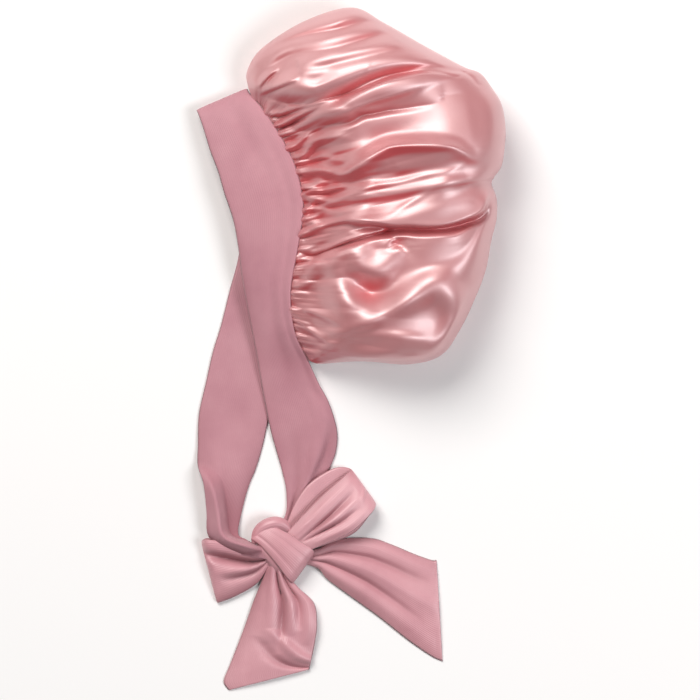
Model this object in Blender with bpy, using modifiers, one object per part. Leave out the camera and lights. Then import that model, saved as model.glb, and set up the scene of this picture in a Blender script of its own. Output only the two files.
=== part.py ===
# Sleep bonnet lying on its side, folded flat at the forehead, its long ties knotted in a bow.
# Metres, +Z up. The bonnet rests on z = 0, with the forehead at -X and the bow toward -Y.

import bpy
import numpy as np
from math import atan2, cos, pi, radians, sin

# Driving dimensions
CROWN_WIDTH = 0.256
CROWN_LENGTH = 0.356
CROWN_HEIGHT = 0.104
CROWN_WALL = 0.0012
GATHER_DEPTH = 0.0028
BAND_WIDTH = 0.076
BAND_WALL = 0.0024
TIE_WIDTH = 0.090
TIE_WALL = 0.0022
TIE_DROP = 0.193
TIE_SWING = -0.026
KNOT_LENGTH = 0.060
KNOT_WIDTH = 0.038
KNOT_HEIGHT = 0.024
KNOT_TURN = radians(-37)
RIGHT_LOOP_LENGTH = 0.102
RIGHT_LOOP_TURN = radians(39)
LEFT_LOOP_LENGTH = 0.080
LEFT_LOOP_TURN = radians(194)
LOOP_LOFT = 0.020
LOWER_TAIL_LENGTH = 0.145
LOWER_TAIL_TURN = radians(-97)
RIGHT_TAIL_LENGTH = 0.190
RIGHT_TAIL_TURN = radians(-21)
PIECE_GAP = 0.0005

# Shape of the crown's round edge, of its flat underside and of the knot
EDGE_ROUNDNESS = 6
FLAT_SHARE = 0.55
INNER_SHARE = 0.35
OUTER_SHARE = 0.75
KNOT_SQUARENESS = 2.6
KNOT_TAPER = 0.12
GATHER_SHARE = 0.22

# How finely each piece is cut into faces
CROWN_SECTIONS = 62
CROWN_TOP_STEPS = 13
CROWN_UNDER_STEPS = 7
BAND_STEPS = 20
BEND_STEPS = 5
BAND_CROSS_STEPS = 6
TIE_STEPS = 17
TIE_CROSS_STEPS = 8
KNOT_SEGMENTS = 20
KNOT_RINGS = 10

# Crown sections from the forehead fold to the nape, one row for each ridge or valley of the cloth.
# x is a share of CROWN_WIDTH from the forehead end, y a share of CROWN_LENGTH down from the top,
# z a share of CROWN_HEIGHT. A section leaves the near seam, goes over the top, turns under at the
# rim and comes back flat to the far seam.
SECTION_COLUMNS = (
    "seam_x", "seam_y", "rim_x", "rim_y", "far_x", "far_y", "seam_z", "inner_z", "outer_z", "rim_z",
)
SECTIONS = (
    (0.016, 0.253, 0.000, 0.222, 0.016, 0.253, 0.21, 0.21, 0.20, 0.105),
    (0.027, 0.261, -0.004, 0.177, 0.031, 0.264, 0.23, 0.29, 0.27, 0.14),
    (0.043, 0.272, 0.055, 0.115, 0.051, 0.278, 0.25, 0.41, 0.40, 0.18),
    (0.059, 0.287, 0.223, 0.039, 0.070, 0.295, 0.27, 0.55, 0.54, 0.24),
    (0.074, 0.301, 0.406, 0.000, 0.090, 0.312, 0.29, 0.70, 0.70, 0.30),
    (0.090, 0.317, 0.535, 0.045, 0.109, 0.331, 0.30, 0.68, 0.68, 0.32),
    (0.109, 0.337, 0.691, 0.110, 0.129, 0.351, 0.31, 0.82, 0.84, 0.35),
    (0.129, 0.360, 0.836, 0.166, 0.148, 0.374, 0.32, 0.88, 0.92, 0.37),
    (0.145, 0.379, 0.906, 0.188, 0.168, 0.396, 0.33, 0.68, 0.76, 0.37),
    (0.160, 0.402, 0.949, 0.225, 0.184, 0.419, 0.34, 0.80, 0.88, 0.38),
    (0.176, 0.424, 0.990, 0.275, 0.199, 0.444, 0.35, 0.68, 0.96, 0.40),
    (0.191, 0.452, 1.003, 0.340, 0.215, 0.472, 0.36, 0.88, 1.02, 0.40),
    (0.211, 0.492, 1.000, 0.396, 0.230, 0.506, 0.37, 0.98, 1.04, 0.40),
    (0.219, 0.525, 0.988, 0.444, 0.242, 0.539, 0.38, 0.78, 0.86, 0.40),
    (0.223, 0.559, 0.961, 0.475, 0.250, 0.573, 0.38, 0.88, 0.96, 0.40),
    (0.219, 0.596, 0.949, 0.497, 0.250, 0.610, 0.38, 0.76, 0.86, 0.39),
    (0.207, 0.643, 0.969, 0.537, 0.242, 0.654, 0.38, 0.90, 1.00, 0.39),
    (0.195, 0.685, 0.969, 0.593, 0.230, 0.697, 0.37, 0.62, 0.72, 0.39),
    (0.184, 0.728, 0.949, 0.654, 0.219, 0.739, 0.36, 0.82, 0.88, 0.39),
    (0.176, 0.770, 0.926, 0.739, 0.207, 0.778, 0.35, 0.70, 0.84, 0.38),
    (0.172, 0.812, 0.883, 0.823, 0.195, 0.815, 0.33, 0.80, 0.90, 0.36),
    (0.168, 0.854, 0.828, 0.902, 0.184, 0.848, 0.30, 0.68, 0.80, 0.34),
    (0.180, 0.896, 0.754, 0.975, 0.176, 0.879, 0.26, 0.56, 0.66, 0.30),
    (0.195, 0.933, 0.625, 1.000, 0.168, 0.907, 0.22, 0.42, 0.50, 0.25),
    (0.215, 0.963, 0.445, 0.994, 0.160, 0.930, 0.18, 0.29, 0.31, 0.17),
    (0.238, 0.992, 0.270, 1.000, 0.156, 0.949, 0.14, 0.15, 0.14, 0.08),
)

# Band rows from the forehead to the nape. Reach is a share of BAND_WIDTH, measured level from the
# seam to the free edge, turn is its direction in degrees, and edge_z a share of CROWN_HEIGHT.
BAND_COLUMNS = ("near_reach", "near_turn", "near_edge_z", "far_reach", "far_turn")
BAND_ROWS = (
    (0.73, 203, 0.21, 0.73, 203),
    (0.83, 204, 0.23, 0.85, 204),
    (0.93, 204, 0.26, 0.93, 203),
    (0.97, 200, 0.29, 0.98, 199),
    (1.00, 195, 0.31, 0.97, 192),
    (0.86, 183, 0.29, 0.96, 193),
    (0.69, 170, 0.24, 0.92, 180),
    (0.61, 164, 0.17, 0.94, 182),
    (0.70, 171, 0.12, 0.99, 185),
)

# Rows of the straps, loops and tails. Along is a share of the piece's length, across a share of
# TIE_WIDTH to the left of its direction. Heights are of the top face: shares of KNOT_HEIGHT for
# ties and tails, of LOOP_LOFT for loops. Swell lifts the middle of a row.
STRIP_COLUMNS = (
    "left_along", "left_across", "right_along", "right_across", "left_z", "right_z", "swell",
)
NEAR_TIE_ROWS = (
    (0.00, 0.29, 0.00, -0.30, 0.60, 0.50, 0.04),
    (0.13, 0.40, 0.13, -0.25, 0.42, 0.38, 0.05),
    (0.25, 0.51, 0.24, -0.20, 0.30, 0.27, 0.05),
    (0.35, 0.60, 0.35, -0.15, 0.20, 0.24, 0.05),
    (0.46, 0.60, 0.46, -0.09, 0.12, 0.15, 0.06),
    (0.57, 0.53, 0.57, -0.02, 0.11, 0.12, 0.05),
    (0.68, 0.39, 0.68, 0.04, 0.11, 0.12, 0.03),
    (0.78, 0.25, 0.79, 0.03, 0.12, 0.13, 0.02),
    (0.87, 0.13, 0.86, -0.17, 0.16, 0.28, 0.04),
)
FAR_TIE_ROWS = (
    (0.00, 0.41, 0.00, -0.42, 0.10, 0.10, 0.01),
    (0.15, 0.28, 0.13, -0.55, 0.10, 0.10, 0.01),
    (0.32, 0.10, 0.26, -0.68, 0.11, 0.11, 0.01),
    (0.44, -0.03, 0.40, -0.75, 0.11, 0.12, 0.10),
    (0.56, -0.17, 0.52, -0.78, 0.14, 0.16, 0.20),
    (0.68, -0.29, 0.64, -0.77, 0.28, 0.34, 0.24),
    (0.78, -0.39, 0.76, -0.78, 0.46, 0.54, 0.20),
    (0.87, -0.45, 0.88, -0.79, 0.60, 0.64, 0.10),
    (0.92, -0.37, 0.97, -0.55, 0.62, 0.64, 0.06),
    (0.95, -0.24, 1.01, -0.31, 0.62, 0.64, 0.04),
)
LOWER_TAIL_ROWS = (
    (0.21, 0.11, 0.10, -0.19, 0.30, 0.30, 0.20),
    (0.28, 0.37, 0.28, -0.23, 0.16, 0.18, 0.30),
    (0.42, 0.46, 0.45, -0.29, 0.12, 0.14, 0.22),
    (0.58, 0.47, 0.65, -0.36, 0.10, 0.12, 0.16),
    (0.70, 0.46, 0.84, -0.43, 0.10, 0.10, 0.12),
    (0.76, 0.45, 0.94, -0.48, 0.10, 0.10, 0.10),
    (0.78, 0.46, 1.00, -0.42, 0.10, 0.10, 0.08),
)
RIGHT_TAIL_ROWS = (
    (0.17, 0.14, 0.19, -0.04, 0.46, 0.46, 0.04),
    (0.27, 0.42, 0.29, -0.11, 0.12, 0.14, 0.30),
    (0.45, 0.51, 0.52, -0.25, 0.11, 0.12, 0.34),
    (0.62, 0.51, 0.74, -0.38, 0.10, 0.12, 0.26),
    (0.74, 0.51, 0.92, -0.49, 0.10, 0.11, 0.20),
    (0.77, 0.53, 1.00, -0.50, 0.10, 0.10, 0.16),
)
RIGHT_LOOP_ROWS = (
    (0.20, -0.10, 0.20, 0.20, 0.42, 0.42, -0.02),
    (0.42, -0.22, 0.42, 0.32, 0.34, 0.34, -0.04),
    (0.70, -0.32, 0.70, 0.42, 0.28, 0.30, -0.04),
    (0.93, -0.26, 0.93, 0.36, 0.26, 0.28, 0.00),
    (1.00, -0.23, 1.01, 0.25, 0.50, 0.52, 0.06),
    (0.93, -0.27, 0.93, 0.27, 0.78, 0.86, 0.14),
    (0.70, -0.30, 0.70, 0.27, 0.74, 0.92, 0.30),
    (0.42, -0.21, 0.42, 0.25, 0.72, 0.96, 0.20),
    (0.20, -0.10, 0.20, 0.18, 0.84, 0.94, 0.06),
)
LEFT_LOOP_ROWS = (
    (0.30, -0.05, 0.35, 0.12, 0.12, 0.12, 0.00),
    (0.46, -0.20, 0.50, 0.29, 0.04, 0.03, 0.00),
    (0.68, -0.30, 0.72, 0.34, 0.03, 0.03, 0.00),
    (0.92, -0.36, 0.92, 0.37, 0.05, 0.05, 0.00),
    (1.00, -0.37, 0.99, 0.37, 0.22, 0.27, 0.02),
    (0.92, -0.36, 0.92, 0.37, 0.38, 0.52, 0.06),
    (0.68, -0.30, 0.72, 0.34, 0.38, 0.58, 0.10),
    (0.46, -0.20, 0.50, 0.29, 0.38, 0.50, 0.06),
    (0.30, -0.05, 0.35, 0.12, 0.48, 0.48, 0.02),
)


def column_values(rows, columns, places):
    """Each column of a table as a smooth curve through its rows, read at places from 0 to 1."""
    table = np.array(rows, float)
    slopes = np.gradient(table, axis=0)
    position = np.clip(np.asarray(places, float), 0, 1) * (len(rows) - 1)
    start = np.minimum(position.astype(int), len(rows) - 2)
    step = (position - start)[..., None]
    values = (
        (2 * step**3 - 3 * step**2 + 1) * table[start]
        + (step**3 - 2 * step**2 + step) * slopes[start]
        + (3 * step**2 - 2 * step**3) * table[start + 1]
        + (step**3 - step**2) * slopes[start + 1]
    )
    return {name: values[..., index] for index, name in enumerate(columns)}


def mix(first, second, share):
    return first + (second - first) * share


def ease(share):
    share = np.clip(share, 0, 1)
    return share * share * (3 - 2 * share)


def clear_scene():
    for item in list(bpy.data.objects):
        bpy.data.objects.remove(item, do_unlink=True)


def cloth_material(name, colour, roughness, sheen):
    material = bpy.data.materials.new(name)
    material.use_nodes = True
    shader = material.node_tree.nodes["Principled BSDF"]
    shader.inputs["Base Color"].default_value = (*colour, 1)
    shader.inputs["Roughness"].default_value = roughness
    shader.inputs["Metallic"].default_value = 0
    shader.inputs["Sheen Weight"].default_value = sheen
    material.diffuse_color = (*colour, 1)
    return material


def grid_object(name, points, collection, material, wall):
    """A sheet through a grid of points, thickened inward to its wall."""
    rows, columns = points.shape[:2]
    index = np.arange(rows * columns).reshape(rows, columns)
    corners = (index[:-1, :-1], index[:-1, 1:], index[1:, 1:], index[1:, :-1])
    faces = np.stack(corners, axis=-1).reshape(-1, 4)
    mesh = bpy.data.meshes.new(name)
    mesh.from_pydata(points.reshape(-1, 3).tolist(), [], faces.tolist())
    mesh.shade_smooth()
    mesh.materials.append(material)
    item = bpy.data.objects.new(name, mesh)
    collection.objects.link(item)
    shell = item.modifiers.new("Wall", "SOLIDIFY")
    shell.thickness = wall
    shell.offset = -1
    return item


# Plan places of the crown and the knot
def crown_sections(places):
    """Seam, rim and far points and heights of the crown's sections at places from 0 to 1."""
    values = column_values(SECTIONS, SECTION_COLUMNS, places)
    sections = {}
    for line in ("seam", "rim", "far"):
        x = values[line + "_x"] * CROWN_WIDTH
        y = -values[line + "_y"] * CROWN_LENGTH
        sections[line] = np.stack([x, y], axis=-1)
    for height in ("seam_z", "inner_z", "outer_z", "rim_z"):
        sections[height] = values[height] * CROWN_HEIGHT
    return sections


def knot_centre():
    nape = crown_sections(1.0)["seam"]
    return nape + np.array([TIE_SWING, -TIE_DROP])


def knot_radius(angle):
    """Distance from the knot's centre to its outline in a direction of the plan."""
    turned = angle - KNOT_TURN
    long_part = np.abs(np.cos(turned) / (KNOT_LENGTH / 2)) ** KNOT_SQUARENESS
    short_part = np.abs(np.sin(turned) / (KNOT_WIDTH / 2)) ** KNOT_SQUARENESS
    return (long_part + short_part) ** (-1 / KNOT_SQUARENESS) * (1 + KNOT_TAPER * np.cos(turned))


def beside_knot(angle):
    """Plan points that follow the knot's outline at the clearance between pieces."""
    reach = knot_radius(angle) + PIECE_GAP
    return knot_centre() + np.stack([np.cos(angle), np.sin(angle)], axis=-1) * reach[..., None]


# Crown
def crown_profile(sections, share):
    """Height of the crown's top at a share of the way from seam to rim."""
    seam, inner, outer, rim = (sections[key] for key in ("seam_z", "inner_z", "outer_z", "rim_z"))
    rise = mix(seam, inner, ease(share / INNER_SHARE))
    body = mix(rise, outer, ease((share - INNER_SHARE) / (OUTER_SHARE - INNER_SHARE)))
    return rim + (body - rim) * np.sqrt(np.clip(1 - share**EDGE_ROUNDNESS, 0, 1))


def make_crown(collection):
    along = np.linspace(0, 1, CROWN_SECTIONS + 1)[:, None]
    sections = crown_sections(along)
    top = (1 - np.cos(pi * np.arange(CROWN_TOP_STEPS + 1) / CROWN_TOP_STEPS)) / 2
    turn = pi / 2 * np.arange(1, CROWN_UNDER_STEPS + 1) / CROWN_UNDER_STEPS
    under = 1 - np.sin(turn) ** 2

    top_height = crown_profile(sections, top[None, :])
    gather = np.where(np.arange(CROWN_SECTIONS + 1) % 2 == 0, 1.0, -1.0)[:, None]
    near_seam = np.sin(pi * np.clip(top / GATHER_SHARE, 0, 1))[None, :]
    ends = np.sin(pi * along) ** 0.5
    top_height = top_height + GATHER_DEPTH * gather * near_seam * ends
    lift = np.clip((under - FLAT_SHARE) / (1 - FLAT_SHARE), 0, 1)[None, :]
    under_height = sections["rim_z"] * (1 - np.sqrt(1 - lift**3))

    top_plan = mix(sections["seam"], sections["rim"], top[None, :, None])
    under_plan = mix(sections["far"], sections["rim"], under[None, :, None])
    top_points = np.concatenate([top_plan, top_height[..., None]], axis=-1)
    under_points = np.concatenate([under_plan, under_height[..., None]], axis=-1)
    points = np.concatenate([top_points, under_points], axis=1)[:, ::-1]
    satin = cloth_material("crown_satin", (0.80, 0.44, 0.45), 0.25, 0.1)
    return grid_object("crown", points, collection, satin, CROWN_WALL)


# Band
def band_row(place, side):
    """Seam and free edge of the band at a place from forehead (0) to nape (1), near or far half."""
    sections = crown_sections(place)
    values = column_values(BAND_ROWS, BAND_COLUMNS, place)
    turn = np.radians(values[side + "_turn"])
    direction = np.stack([np.cos(turn), np.sin(turn)], axis=-1)
    reach = BAND_WIDTH * values[side + "_reach"]
    if side == "near":
        line, seam_z, edge_z = sections["seam"], sections["seam_z"], values["near_edge_z"] * CROWN_HEIGHT
    else:
        line, seam_z, edge_z = sections["far"], np.zeros_like(reach), np.zeros_like(reach)
    # Where the band leans, its lower face comes nearer to the crown by its wall times the slope.
    lean = BAND_WALL * np.maximum(seam_z - edge_z, 0) / reach
    seam = line + direction * (PIECE_GAP + lean)[..., None]
    edge = seam + direction * reach[..., None]
    return np.concatenate([seam, seam_z[..., None]], -1), np.concatenate([edge, edge_z[..., None]], -1)


def make_band(collection):
    places = np.linspace(0, 1, BAND_STEPS + 1)
    near_seam, near_edge = band_row(places, "near")
    far_seam, far_edge = band_row(places, "far")

    # The forehead fold is a half turn from the near half down to the far half.
    fold = near_edge[0] - near_seam[0]
    outward = np.array([fold[1], -fold[0], 0]) / np.hypot(fold[0], fold[1])
    angles = pi / 2 - pi * np.arange(1, BEND_STEPS) / BEND_STEPS
    reach = crown_sections(0.0)
    depth = np.hypot(*(reach["rim"] - reach["seam"]))
    radius = near_seam[0, 2] / 2
    bend = depth * np.cos(angles)[:, None] * outward
    bend = bend + radius * (np.sin(angles) - 1)[:, None] * np.array([0, 0, 1])
    seam = np.concatenate([near_seam[::-1], near_seam[0] + bend, far_seam])
    edge = np.concatenate([near_edge[::-1], near_edge[0] + bend, far_edge])
    across = np.linspace(0, 1, BAND_CROSS_STEPS + 1)[None, :, None]
    points = mix(edge[:, None], seam[:, None], across)
    jersey = cloth_material("band_jersey", (0.53, 0.26, 0.30), 0.8, 0.3)
    return grid_object("band", points, collection, jersey, BAND_WALL)


# Straps, loops and tails
def strip_points(rows, origin, length, turn, height, root_angles, start=None, is_loop=False):
    """Grid of a strip: its rows lofted in its own direction, ended on the knot's outline."""
    along = np.linspace(0, 1, TIE_STEPS + 1)[:, None]
    across = np.linspace(0, 1, TIE_CROSS_STEPS + 1)[None, :]
    values = column_values(rows, STRIP_COLUMNS, along)
    forward = np.array([cos(turn), sin(turn)])
    leftward = np.array([-sin(turn), cos(turn)])
    steps = mix(values["left_along"], values["right_along"], across) * length
    offsets = mix(values["left_across"], values["right_across"], across) * TIE_WIDTH
    plan = origin + steps[..., None] * forward + offsets[..., None] * leftward
    level = mix(values["left_z"], values["right_z"], across)
    level = (level + values["swell"] * 4 * across * (1 - across)) * height
    points = np.concatenate([plan, level[..., None]], axis=-1)

    # Ends follow the knot's outline, or the row that the strip continues from.
    left_angle, right_angle = (radians(angle) for angle in root_angles)
    root = beside_knot(mix(left_angle, right_angle, across[0]))
    at_knot = (0, -1) if is_loop else (0,)
    if start is not None:
        at_knot = (-1,)
        fade = (1 - ease(along / 0.3))[..., None]
        points = points + (start - points[0])[None] * fade
    for end in at_knot:
        distance = along if end == 0 else 1 - along
        fade = (1 - ease(distance / 0.3))[..., None]
        points[..., :2] += (root - points[end, :, :2])[None] * fade
    return points


def make_strip(name, points, collection):
    jersey = cloth_material(name + "_jersey", (0.56, 0.28, 0.32), 0.8, 0.3)
    return grid_object(name, points, collection, jersey, TIE_WALL)


def make_ties(collection):
    centre = knot_centre()
    for name, side, rows, angles in (
        ("near_tie", "near", NEAR_TIE_ROWS, (60, 130)),
        ("far_tie", "far", FAR_TIE_ROWS, (162, 194)),
    ):
        seam, edge = band_row(1.0, side)
        middle = (seam + edge)[:2] / 2
        line = centre - middle
        turn = atan2(line[1], line[0])
        across = np.linspace(0, 1, TIE_CROSS_STEPS + 1)[:, None]
        start = mix(seam, edge, across)
        start[:, :2] += line / np.hypot(*line) * PIECE_GAP
        start[:, 2] += TIE_WALL if side == "far" else 0
        points = strip_points(rows, middle, np.hypot(*line), turn, KNOT_HEIGHT, angles, start)
        make_strip(name, points, collection)


def make_bow(collection):
    centre = knot_centre()
    for name, rows, length, turn, height, angles in (
        ("right_loop", RIGHT_LOOP_ROWS, RIGHT_LOOP_LENGTH, RIGHT_LOOP_TURN, LOOP_LOFT, (8, 86)),
        ("left_loop", LEFT_LOOP_ROWS, LEFT_LOOP_LENGTH, LEFT_LOOP_TURN, LOOP_LOFT, (184, 212)),
        ("lower_tail", LOWER_TAIL_ROWS, LOWER_TAIL_LENGTH, LOWER_TAIL_TURN, KNOT_HEIGHT, (281, 216)),
        ("right_tail", RIGHT_TAIL_ROWS, RIGHT_TAIL_LENGTH, RIGHT_TAIL_TURN, KNOT_HEIGHT, (-6, -26)),
    ):
        is_loop = height == LOOP_LOFT
        points = strip_points(rows, centre, length, turn, height, angles, is_loop=is_loop)
        make_strip(name, points, collection)


# Knot
def make_knot(collection):
    bpy.ops.mesh.primitive_uv_sphere_add(segments=KNOT_SEGMENTS, ring_count=KNOT_RINGS, radius=1)
    knot = bpy.context.object
    knot.name = "knot_wrap"
    knot.data.name = "knot_wrap"
    for vertex in knot.data.vertices:
        x, y, z = vertex.co
        angle = atan2(y, x)
        level = max(-1.0, min(1.0, z))
        reach = knot_radius(angle) * (1 - level * level) ** 0.4
        height = KNOT_HEIGHT / 2 * (1 + (abs(level) ** 0.8) * (1 if level > 0 else -1))
        vertex.co = (reach * cos(angle), reach * sin(angle), height)
    knot.data.shade_smooth()
    centre = knot_centre()
    knot.location = (centre[0], centre[1], 0)
    for owner in list(knot.users_collection):
        owner.objects.unlink(knot)
    collection.objects.link(knot)
    knot.data.materials.append(cloth_material("knot_jersey", (0.58, 0.29, 0.33), 0.8, 0.3))
    return knot


def centre_on_outline(collection):
    """Moves the whole bonnet so that the middle of its outline stands over the origin."""
    bpy.context.view_layer.update()
    depsgraph = bpy.context.evaluated_depsgraph_get()
    corners = []
    for item in collection.objects:
        corners += [item.matrix_world @ vertex.co for vertex in item.evaluated_get(depsgraph).data.vertices]
    low = np.min([tuple(corner) for corner in corners], axis=0)
    high = np.max([tuple(corner) for corner in corners], axis=0)
    for item in collection.objects:
        item.location.x -= (low[0] + high[0]) / 2
        item.location.y -= (low[1] + high[1]) / 2
        item.location.z -= low[2]


def main():
    clear_scene()
    collection = bpy.data.collections.new("sleep_bonnet")
    bpy.context.scene.collection.children.link(collection)
    make_crown(collection)
    make_band(collection)
    make_ties(collection)
    make_bow(collection)
    make_knot(collection)
    centre_on_outline(collection)


main()
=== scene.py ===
import bmesh
import bpy
import numpy as np
from math import pi
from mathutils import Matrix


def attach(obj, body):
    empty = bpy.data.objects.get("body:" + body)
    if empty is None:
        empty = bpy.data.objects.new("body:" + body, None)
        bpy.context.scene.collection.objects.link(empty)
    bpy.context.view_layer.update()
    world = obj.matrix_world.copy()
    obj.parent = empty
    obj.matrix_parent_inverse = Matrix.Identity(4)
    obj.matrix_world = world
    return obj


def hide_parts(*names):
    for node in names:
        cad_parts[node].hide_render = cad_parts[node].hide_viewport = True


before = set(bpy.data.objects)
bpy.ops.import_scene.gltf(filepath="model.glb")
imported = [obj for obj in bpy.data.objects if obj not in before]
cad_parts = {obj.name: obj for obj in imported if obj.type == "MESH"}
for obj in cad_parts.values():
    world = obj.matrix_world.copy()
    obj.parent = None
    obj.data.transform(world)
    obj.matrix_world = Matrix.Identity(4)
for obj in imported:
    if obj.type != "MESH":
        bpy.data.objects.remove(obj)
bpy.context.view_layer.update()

# Satin sleep bonnet lying on its side, its jersey band tied in a bow, seen straight from above.
# Tables are in millimetres in the frame: +x is the picture's right, +y its top, z up from the table.
mm = 0.001


def ease(share):
    # 3s^2 - 2s^3, held between 0 and 1
    share = np.clip(share, 0, 1)
    return share * share * (3 - 2 * share)


def mix(first, second, share):
    return first + (second - first) * share


def columnsAt(rows, names, places):
    # a smooth cubic through the rows of each column, read at places from 0 to 1
    table = np.array(rows, float)
    slopes = np.gradient(table, axis=0)
    position = np.clip(np.asarray(places, float), 0, 1) * (len(rows) - 1)
    start = np.minimum(position.astype(int), len(rows) - 2)
    t = (position - start)[..., None]
    values = (
        (2 * t**3 - 3 * t**2 + 1) * table[start]
        + (t**3 - 2 * t**2 + t) * slopes[start]
        + (3 * t**2 - 2 * t**3) * table[start + 1]
        + (t**3 - t**2) * slopes[start + 1]
    )
    return {name: values[..., index] for index, name in enumerate(names)}


def linearColour(hexText):
    # each sRGB channel c becomes ((c + 0.055) / 1.055)^2.4, or c / 12.92 where it is dark
    channels = [int(hexText[i:i + 2], 16) / 255 for i in (0, 2, 4)]
    return (*[((c + 0.055) / 1.055) ** 2.4 if c > 0.04045 else c / 12.92 for c in channels], 1)


def addNode(tree, kind, inputs=None, **settings):
    # one node with its settings; an input is either a value or the output that it is joined to
    node = tree.nodes.new(kind)
    for name, value in settings.items():
        setattr(node, name, value)
    for socket, value in (inputs or {}).items():
        if isinstance(value, bpy.types.NodeSocket):
            tree.links.new(value, node.inputs[socket])
        else:
            node.inputs[socket].default_value = value
    return node


def setSockets(shader, values):
    for socket, value in values.items():
        shader.inputs[socket].default_value = value


def surfaceNormals(points):
    # cross product of the grid's steps along its rows and along its columns
    normals = np.cross(np.gradient(points, axis=0), np.gradient(points, axis=1))
    return normals / np.maximum(np.linalg.norm(normals, axis=-1, keepdims=True), 1e-9)


def smoothed(values, passes):
    # each pass replaces a value by (before + 2 * itself + after) / 4, along rows and along columns
    for _ in range(passes):
        for axis in (0, 1):
            widths = [(1, 1) if item == axis else (0, 0) for item in (0, 1)]
            padded = np.pad(values, widths, mode="edge")
            before, after = (padded[:-2], padded[2:]) if axis == 0 else (padded[:, :-2], padded[:, 2:])
            values = (before + 2 * values + after) / 4
    return values


# painted shade: where the cloth's colour is darkened, on slopes that face away from the lamp at the upper
# left, and low in folds
paintedShadeRules = dict(up=0.95, left=0.3, gain=1.3, ignored=0.15, most=0.8, passes=2)


def paintedShadePlaces(points, passes, depth):
    # Painted shade, 0 to 1, from the height less its smoothed self. A place counts by -gain * n - ignored,
    # n being up * y - left * x of its normal, so that slopes facing away from the lamp at the upper left
    # count, and by how far it lies below its surroundings over depth.
    detail = points[..., 2] - smoothed(points[..., 2], passes)
    facing = surfaceNormals(np.concatenate([points[..., :2], detail[..., None]], -1))
    facing = facing * np.sign(facing[..., 2:])
    toward = paintedShadeRules["up"] * facing[..., 1] - paintedShadeRules["left"] * facing[..., 0]
    away = np.clip(-paintedShadeRules["gain"] * toward - paintedShadeRules["ignored"], 0, paintedShadeRules["most"])
    return smoothed(np.clip(away - detail / depth, 0, 1), paintedShadeRules["passes"])


def addLayers(mesh, faces, layers):
    # UV layers from a pair of numbers at each point, which the corners of its faces share
    for name, values in layers.items():
        layer = mesh.uv_layers.new(name=name)
        layer.data.foreach_set("uv", values[faces.reshape(-1)].astype(np.float32).reshape(-1))


def finishedPiece(name, mesh, material):
    mesh.shade_smooth()
    mesh.materials.append(material)
    item = bpy.data.objects.new(name, mesh)
    bpy.context.scene.collection.objects.link(item)
    print("made", name, len(mesh.polygons), "faces")
    return item


# how square the wall's rounding is at the long sides of a sheet and at its ends
edgeSquareness = dict(sides=8, ends=40)


def clothObject(name, middle, wall, outward, material, valley):
    # Two faces half a wall to each side of the middle surface. The half wall is
    # w / 2 * sqrt(1 - a^8) * sqrt(1 - b^40), a across and b along the sheet from -1 to 1, so all four
    # edges close round. valley is painted shade and painted reflection, 0 to 1, for the colours: how deep
    # each place lies in a fold and how far it faces away from the lamp.
    rows, columns = middle.shape[:2]
    along = np.linspace(-1, 1, rows)[:, None]
    across = np.linspace(-1, 1, columns)[None, :]
    sides = np.sqrt(np.clip(1 - across ** edgeSquareness["sides"], 0, 1))
    rounding = sides * np.sqrt(np.clip(1 - along ** edgeSquareness["ends"], 0, 1))
    offset = surfaceNormals(middle) * (outward * wall / 2 * rounding)[..., None]
    points = np.concatenate([(middle + offset).reshape(-1, 3), (middle - offset).reshape(-1, 3)]) * mm

    index = np.arange(rows * columns).reshape(rows, columns)
    quads = np.stack([index[:-1, :-1], index[1:, :-1], index[1:, 1:], index[:-1, 1:]], -1).reshape(-1, 4)
    upper, lower = (quads, quads[:, ::-1]) if outward > 0 else (quads[:, ::-1], quads)
    faces = np.concatenate([upper, lower + rows * columns])
    mesh = bpy.data.meshes.new(name)
    mesh.from_pydata(points.tolist(), [], faces.tolist())

    # cloth coordinates in centimetres of real cloth: across it and along it
    stepAcross = np.linalg.norm(np.diff(middle, axis=1), axis=-1)
    stepAlong = np.linalg.norm(np.diff(middle, axis=0), axis=-1)
    clothAcross = np.concatenate([np.zeros((rows, 1)), np.cumsum(stepAcross, axis=1)], axis=1)
    clothAcross = clothAcross / clothAcross[:, -1:] * clothAcross[:, -1].max()
    clothAlong = np.concatenate([[0], np.cumsum(stepAlong.mean(axis=1))])
    cloth = np.stack([clothAcross, np.broadcast_to(clothAlong[:, None], (rows, columns))], -1) / 10
    share = np.stack(np.broadcast_arrays((across + 1) / 2, (along + 1) / 2), -1)
    addLayers(mesh, faces, {
        "cloth": np.tile(cloth.reshape(-1, 2), (2, 1)), "share": np.tile(share.reshape(-1, 2), (2, 1))})
    # the valley attribute carries the painted shade to the materials
    layer = mesh.attributes.new("valley", "FLOAT", "POINT")
    layer.data.foreach_set("value", np.tile(valley.reshape(-1), 2).astype(np.float32))

    # the two faces meet at their edges, and are joined there
    work = bmesh.new()
    work.from_mesh(mesh)
    bmesh.ops.remove_doubles(work, verts=work.verts, dist=2e-6)
    bmesh.ops.dissolve_degenerate(work, edges=work.edges, dist=1e-7)
    work.to_mesh(mesh)
    work.free()
    return finishedPiece(name, mesh, material)


foldNames = ("x", "y", "lift", "soft", "steep", "dip")
foldLine = dict(step=1.5, rounding=1.2)   # the spacing of a fold line's points, and its crest's radius


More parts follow.
